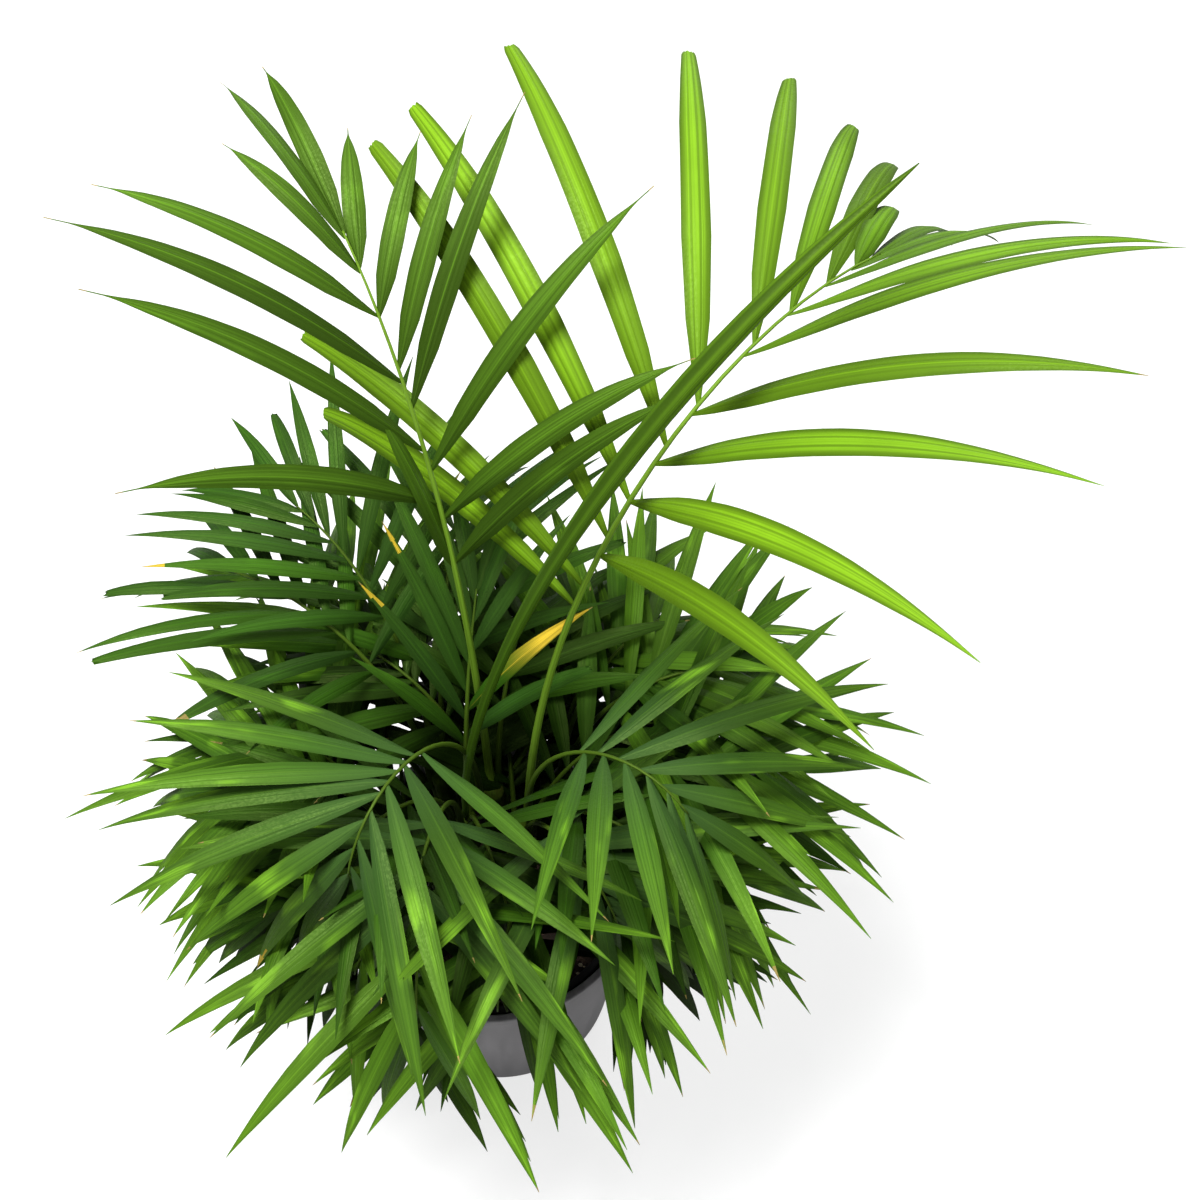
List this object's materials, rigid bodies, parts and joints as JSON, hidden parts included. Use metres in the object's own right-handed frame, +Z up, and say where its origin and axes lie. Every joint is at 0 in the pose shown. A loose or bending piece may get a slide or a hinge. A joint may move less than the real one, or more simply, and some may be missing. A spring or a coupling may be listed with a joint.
{
  "type": "potted areca palm",
  "caption": "Young feather palm clump with arching fronds of narrow leaflets, in a black nursery pot inside a plain grey cover pot.",
  "frame": {"origin": "middle of the cover pot's flat underside", "axes": "+Z up along the pot's axis, -Y towards the viewer of the picture, +X to the viewer's right"},
  "size_m": [0.4823, 0.4372, 0.5335],
  "materials": {
    "cover_pot": "matte grey, faintly streaked",
    "nursery_pot": "thin black pot, satin",
    "soil": "damp potting mix with pale grit",
    "stem": "smooth green cane in dry sheaths",
    "spear": "folded unopened leaf, satin",
    "young_leaf": "bright satin leaflets, pleated",
    "dark_leaf": "dark satin leaflets, pleated",
    "leaf": "mid-green satin leaflets, pleated",
    "old_leaf": "paler satin leaflets with dry tips"
  },
  "bodies": {
    "root": {"cover_pot": "cover_pot", "frond_back": "dark_leaf", "frond_back_left": "dark_leaf", "frond_back_left_low": "dark_leaf", "frond_back_left_skirt": "leaf", "frond_back_low": "leaf", "frond_back_right": "leaf", "frond_back_right_low": "leaf", "frond_back_right_skirt": "leaf", "frond_front": "leaf", "frond_front_centre": "leaf", "frond_front_high": "leaf", "frond_front_left": "leaf", "frond_front_left_low": "leaf", "frond_front_right": "leaf", "frond_front_right_low": "leaf", "frond_heart": "dark_leaf", "frond_hem_back_left": "old_leaf", "frond_hem_back_right": "old_leaf", "frond_hem_front_left": "old_leaf", "frond_hem_front_right": "old_leaf", "frond_hem_left": "old_leaf", "frond_hem_right": "old_leaf", "frond_left": "leaf", "frond_left_high": "leaf", "frond_left_low": "leaf", "frond_middle_left": "leaf", "frond_middle_right": "leaf", "frond_right": "leaf", "frond_right_high": "leaf", "frond_right_low": "leaf", "frond_tall_left": "young_leaf", "frond_tall_right": "young_leaf", "nursery_pot": "nursery_pot", "soil": "soil", "spear": "spear", "stem_back_centre": "stem", "stem_back_left": "stem", "stem_back_right": "stem", "stem_centre": "stem", "stem_front_left": "stem", "stem_front_right": "stem", "stem_left": "stem", "stem_right": "stem", "stem_right_centre": "stem"}
  },
  "joints": []
}
